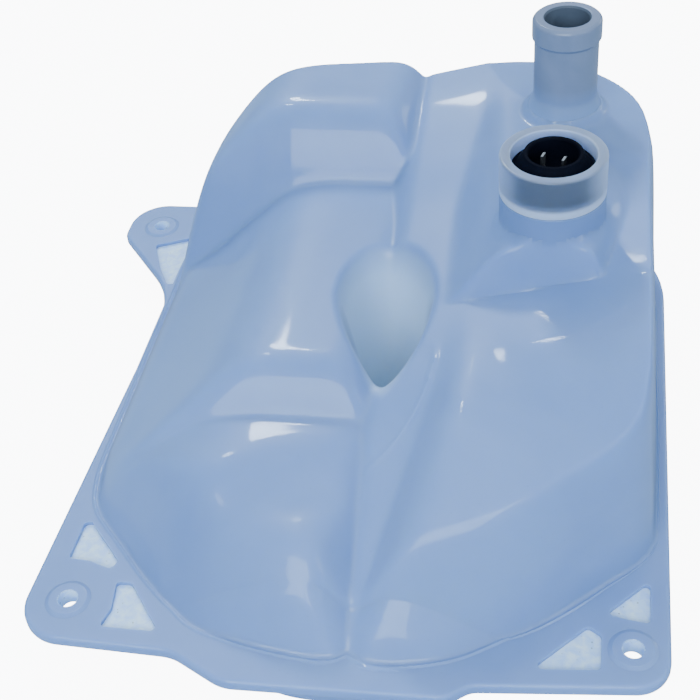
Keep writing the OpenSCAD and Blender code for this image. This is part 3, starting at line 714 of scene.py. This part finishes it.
# The attribute that carries the pit's painted light goes from 0 to 1 over the pit's lip, and on to 2 down
# its walls
place = np.empty(len(tank.data.vertices) * 3, np.float32)
tank.data.vertices.foreach_get("co", place)
place = place.reshape(-1, 3) * 1000
ring = pit_size(place[:, 0], place[:, 1])
deep = np.clip((1.12 - ring) / 0.2, 0, 1) + np.clip((0.95 - ring) / 0.5, 0, 1)
deep *= np.clip((outer_top(place[:, 0], place[:, 1]) + 1 - place[:, 2]) > -1.5, 0, 1)
tank.data.attributes.new("pit", "FLOAT", "POINT").data.foreach_set("value", deep.astype(np.float32))

window_corners = [np.array(window)[:, :2] for window in windows]
window_boxes = [(corners.min(0), corners.max(0)) for corners in window_corners]


def in_window(x, y):
    """Whether a point lies in the box round one of the ears' windows."""
    return any(low[0] < x < high[0] and low[1] < y < high[1] for low, high in window_boxes)


# Painted light: the bolt holes' walls take the pale web plastic, for the light seen through the holes
for face in tank.data.polygons:
    x, y, z = face.center * 1000
    flat_web = abs(abs(z) - WEB_T / 2) < 0.05 and abs(face.normal.z) > 0.9
    bore_painted_light = any(math.hypot(x - hole[0], y - hole[1]) < BOLT_R + 0.1 for hole in bolt_holes)
    if bore_painted_light or (flat_web and in_window(x, y)):
        face.material_index = 1
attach(tank, "tank")
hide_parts("tank_body")

# Sensor collar
# Injection-moulded ring of frosted plastic, whiter than the tank, hot-plate welded on the
# neck. Its bore takes the sensor's plug, which shows through its wall.
RIM_Z, SHOULDER_Z, SOCKET_R = NECK_TOP + 15, NECK_TOP + 1.5, 14.6
collar = turned("collar", rounded([
    (NECK_BORE_R, NECK_TOP, 0.2), (COLLAR_R, NECK_TOP, 0.5), (COLLAR_R, RIM_Z, 0.9),
    (SOCKET_R, RIM_Z, 0.7), (SOCKET_R, SHOULDER_Z, 0.4), (NECK_BORE_R, SHOULDER_Z, 0.3),
], 22), COLLAR, 160)
smooth(collar)
frosted, tree, shader, surface = skin_material(
    "collar_plastic", moulded,
    {
        "Pale": (0.5, 0.62, 0.84, 1), "Deep": (0.46, 0.58, 0.81, 1), "Cloud Scale": 30.0, "Gloss": 0.34,
        "Specks": 0.0, "Scuffs": 0.0,
    },
    0.02, ior=1.42, subsurface_weight=0.5, subsurface_radius=(0.8, 1.0, 1.3), subsurface_scale=0.003,
)
# The rim and the weld at its foot are cloudy, the wall between them is clearer
weld_z, cloudy_z = (NECK_TOP + 3.2) / 1000, (RIM_Z - 0.7) / 1000
clear = sums(
    tree, "MULTIPLY", fade(tree, level(tree), weld_z - 0.0008, weld_z + 0.0008, 0.2, 0.9),
    fade(tree, level(tree), cloudy_z, cloudy_z + 0.0006, 1.0, 0.8),
)
slant = put(tree, "LayerWeight", {"Blend": 0.3}).outputs["Facing"]
clear = sums(tree, "MULTIPLY", clear, fade(tree, slant, 0.22, 0.75, 1.0, 0.25))
# Seen from the bore, the wall is frosted by its mould
bore_side = fade(
    tree, collar_gap(tree), (SOCKET_R + 0.2) / 1000, (SOCKET_R + 0.4) / 1000, 0.45, 1.0
)
within = put(tree, "NewGeometry").outputs["Backfacing"]
clear = sums(tree, "MULTIPLY", clear, sums(tree, "MAXIMUM", bore_side, within))
tree.links.new(clear, shader.inputs["Transmission Weight"])
collar.data.materials.append(frosted)
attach(collar, "tank")
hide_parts("sensor_collar")

# Hose stub
# Injection-moulded pipe end with a bead that holds the hose under its clamp. Its foot is
# welded on a pad that the tank's mould leaves on the rear right block.
STUB_TOP, PIPE_R, HOSE_BEAD_R = SEAT_Z + 38, 12, 12.9
stub = turned("stub", rounded([
    (STUB_BORE_R, SEAT_Z, 0.2), (PAD_R, SEAT_Z, 0.3), (PAD_R, SEAT_Z + 0.6, 0.5),
    (PIPE_R + 0.05, SEAT_Z + 6.5, 6), (PIPE_R, STUB_TOP - 9, 0.5),
    (HOSE_BEAD_R, STUB_TOP - 7.8, 0.6), (HOSE_BEAD_R, STUB_TOP - 1, 1.6),
    (HOSE_BEAD_R - 1.2, STUB_TOP, 0.5), (STUB_BORE_R + 0.6, STUB_TOP, 0.5),
    (STUB_BORE_R, STUB_TOP - 1, 0.4),
], 15), STUB, 128)
smooth(stub)
stub_plastic, tree, shader, surface = skin_material(
    "stub_plastic", moulded,
    {
        "Pale": (0.168, 0.22, 0.342, 1), "Deep": (0.136, 0.185, 0.294, 1), "Cloud Scale": 40.0,
        "Gloss": 0.36, "Specks": 0.1, "Scuffs": 0.05,
    },
    0.1, ior=1.5, coat_weight=0.1, coat_roughness=0.12,
)
# Painted light: near its foot the stub is painted paler for the pale roof that shines through it
roof_light_mask = fade(tree, level(tree), SEAT_Z / 1000, (SEAT_Z + 13) / 1000, 0.85, 0)
foot_painted_light = mixed(tree, roof_light_mask, surface.outputs["Colour"], (0.19, 0.34, 0.66, 1))
tree.links.new(foot_painted_light, shader.inputs["Base Color"])
stub.data.materials.append(stub_plastic)
# Painted shade: the bore gets a dull material, painted dark for the shade inside it
stub.data.materials.append(skin_material(
    "stub_bore_painted_shade", moulded,
    {
        "Pale": (0.085, 0.11, 0.15, 1), "Deep": (0.065, 0.085, 0.12, 1), "Cloud Scale": 60.0, "Gloss": 0.55,
        "Specks": 0.0, "Scuffs": 0.0,
    },
    0.1, specular_ior_level=0.2,
)[0])
for face in stub.data.polygons:
    x, y = face.center.xy * 1000
    if math.hypot(x - STUB[0], y - STUB[1]) < STUB_BORE_R + 0.3:
        face.material_index = 1
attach(stub, "tank")
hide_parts("hose_stub")


def finish(node, material):
    """Gives a carried-over piece its material."""
    nodes[node].data.materials.clear()
    nodes[node].data.materials.append(material)


finish("sensor_body", skin_material(
    "sensor_plastic", moulded,
    {
        "Pale": (0.003, 0.004, 0.009, 1), "Deep": (0.0015, 0.002, 0.005, 1), "Cloud Scale": 60.0,
        "Gloss": 0.6, "Specks": 0.0, "Scuffs": 0.0,
    },
    0.15, specular_ior_level=0.02,
)[0])
finish("sensor_seal", skin_material(
    "seal_rubber", moulded,
    {
        "Pale": (0.02, 0.021, 0.023, 1), "Deep": (0.013, 0.013, 0.014, 1), "Cloud Scale": 90.0,
        "Gloss": 0.62, "Specks": 0.05, "Scuffs": 0.05,
    },
    0.3,
)[0])

# Plated, drawn or stamped metal with fine drawing lines and a little tarnish
metal, given, result = effect(
    "drawn_metal",
    [
        ("Bright", COLOUR, (0.8, 0.8, 0.8, 1)), ("Tarnished", COLOUR, (0.5, 0.5, 0.5, 1)),
        ("Line Scale", FLOAT, 900.0), ("Gloss", FLOAT, 0.25),
    ],
    [("Colour", COLOUR), ("Roughness", FLOAT), ("Height", FLOAT)],
)
spot = put(metal, "TexCoord").outputs["Object"]
along = put(metal, "Mapping", {"Vector": spot, "Scale": (1, 1, 0.06)}).outputs[0]
lines = put(metal, "TexNoise", {
    "Vector": along, "Scale": given.outputs["Line Scale"], "Detail": 3
}).outputs["Fac"]
stain = put(metal, "TexNoise", {"Vector": spot, "Scale": 180, "Detail": 5}).outputs["Fac"]
stained = fade(metal, stain, 0.5, 0.75)
metal_colour = mixed(metal, stained, given.outputs["Bright"], given.outputs["Tarnished"])
metal.links.new(metal_colour, result.inputs["Colour"])
rough = sums(metal, "ADD", given.outputs["Gloss"], fade(metal, stain, 0.4, 0.8, 0, 0.25))
metal.links.new(rough, result.inputs["Roughness"])
metal.links.new(lines, result.inputs["Height"])

tinned = skin_material(
    "contact_metal", metal,
    {"Bright": (0.3, 0.32, 0.35, 1), "Tarnished": (0.18, 0.18, 0.19, 1), "Gloss": 0.35},
    0.2, metallic=1.0,
)[0]
finish("contact_left", tinned)
finish("contact_right", tinned)

# Reed switch and its wires
# A glass reed switch stands in the stem and closes when the float's magnet comes near. Its
# two bare wires run up to the blades and are soldered to them.
finish("reed_switch", skin_material(
    "reed_glass", moulded,
    {
        "Pale": (0.62, 0.8, 0.7, 1), "Deep": (0.54, 0.74, 0.62, 1), "Cloud Scale": 200.0, "Gloss": 0.08,
        "Specks": 0.0, "Scuffs": 0.0,
    },
    0.02, transmission_weight=0.7, ior=1.48,
)[0])
copper = skin_material(
    "lead_copper", metal,
    {"Bright": (0.86, 0.48, 0.3, 1), "Tarnished": (0.4, 0.2, 0.12, 1), "Line Scale": 1600.0},
    0.2, metallic=1.0,
)[0]
finish("lead_left", copper)
finish("lead_right", copper)

# Float
# Ring of closed-cell foam that slides on the stem, with a ferrite ring magnet pressed into
# its underside. A steel clip in the stem's groove stops it at its low end.
foam, given, result = effect(
    "foam_cells",
    [
        ("Pale", COLOUR, (0.7, 0.5, 0.3, 1)), ("Deep", COLOUR, (0.5, 0.35, 0.2, 1)),
        ("Cell Scale", FLOAT, 900.0),
    ],
    [("Colour", COLOUR), ("Roughness", FLOAT), ("Height", FLOAT)],
)
spot = put(foam, "TexCoord").outputs["Object"]
cells = put(foam, "TexVoronoi", {"Vector": spot, "Scale": given.outputs["Cell Scale"]}).outputs["Distance"]
foam_colour = mixed(foam, fade(foam, cells, 0.1, 0.6), given.outputs["Deep"], given.outputs["Pale"])
foam.links.new(foam_colour, result.inputs["Colour"])
foam.links.new(fade(foam, cells, 0, 0.7, 0.9, 0.65), result.inputs["Roughness"])
foam.links.new(cells, result.inputs["Height"])
finish("float_ring", skin_material(
    "float_foam", foam, {"Pale": (0.78, 0.56, 0.26, 1), "Deep": (0.6, 0.4, 0.16, 1)}, 0.6,
)[0])
finish("float_magnet", skin_material(
    "magnet_ferrite", foam,
    {"Pale": (0.055, 0.055, 0.06, 1), "Deep": (0.03, 0.03, 0.033, 1), "Cell Scale": 2400.0},
    0.3,
)[0])
finish("float_clip", skin_material(
    "clip_steel", metal, {"Bright": (0.62, 0.63, 0.65, 1), "Tarnished": (0.34, 0.32, 0.3, 1), "Gloss": 0.3},
    0.2, metallic=1.0,
)[0])
